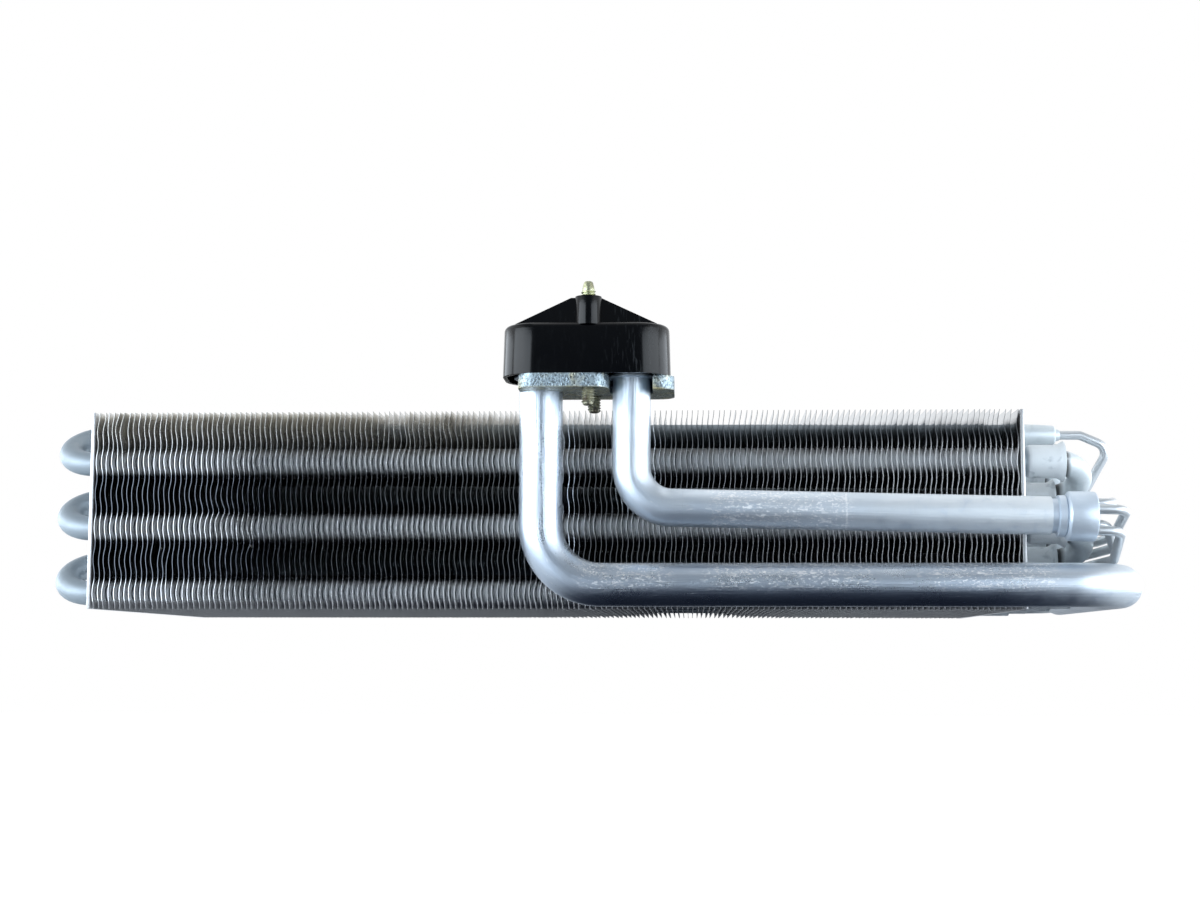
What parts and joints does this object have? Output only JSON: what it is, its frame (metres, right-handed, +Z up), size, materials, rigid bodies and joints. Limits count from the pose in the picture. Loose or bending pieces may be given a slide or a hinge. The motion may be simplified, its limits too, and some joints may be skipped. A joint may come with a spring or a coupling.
{
  "type": "evaporator core",
  "caption": "Vehicle air-conditioning evaporator: wavy plate fins on staggered hairpin tubes, fed by capillaries from a distributor, with pipes to a clamp plate under a black cap.",
  "frame": {"origin": "the middle of the core's underside", "axes": "+X along the tubes towards the distributor and header, +Y from the pipe side of the core towards its back, +Z up, towards the protective cap"},
  "size_m": [0.4191, 0.2244, 0.118],
  "materials": {
    "fins": "thin mill-finish sheet",
    "end_plates": "mill-finish sheet",
    "tubes": "dull drawn tube",
    "bends": "dull, brazed ends",
    "nipples": "dull, brazed ends",
    "capillaries": "drawn tube",
    "distributor": "turned, satin",
    "pipes": "satin drawn tube, lightly scratched",
    "plate": "sheared, zinc plated",
    "studs": "yellow zinc plated",
    "cap": "moulded, glossy black"
  },
  "bodies": {
    "root": {"capillary_a": "capillaries", "capillary_b": "capillaries", "capillary_c": "capillaries", "capillary_d": "capillaries", "clamp_plate": "plate", "distributor": "distributor", "end_plate_left": "end_plates", "end_plate_right": "end_plates", "fin_pack": "fins", "front_stud": "studs", "hairpin_a1": "tubes", "hairpin_a2": "tubes", "hairpin_a3": "tubes", "hairpin_b1": "tubes", "hairpin_b2": "tubes", "hairpin_b3": "tubes", "hairpin_c1": "tubes", "hairpin_c2": "tubes", "hairpin_c3": "tubes", "hairpin_d1": "tubes", "hairpin_d2": "tubes", "hairpin_d3": "tubes", "inlet_nipple_a": "nipples", "inlet_nipple_b": "nipples", "inlet_nipple_c": "nipples", "inlet_nipple_d": "nipples", "liquid_pipe": "pipes", "outlet_tube_a": "bends", "outlet_tube_b": "bends", "outlet_tube_c": "bends", "outlet_tube_d": "bends", "protective_cap": "cap", "rear_stud": "studs", "return_bend_a1": "bends", "return_bend_a2": "bends", "return_bend_b1": "bends", "return_bend_b2": "bends", "return_bend_c1": "bends", "return_bend_c2": "bends", "return_bend_d1": "bends", "return_bend_d2": "bends", "suction_pipe": "pipes"}
  },
  "joints": []
}
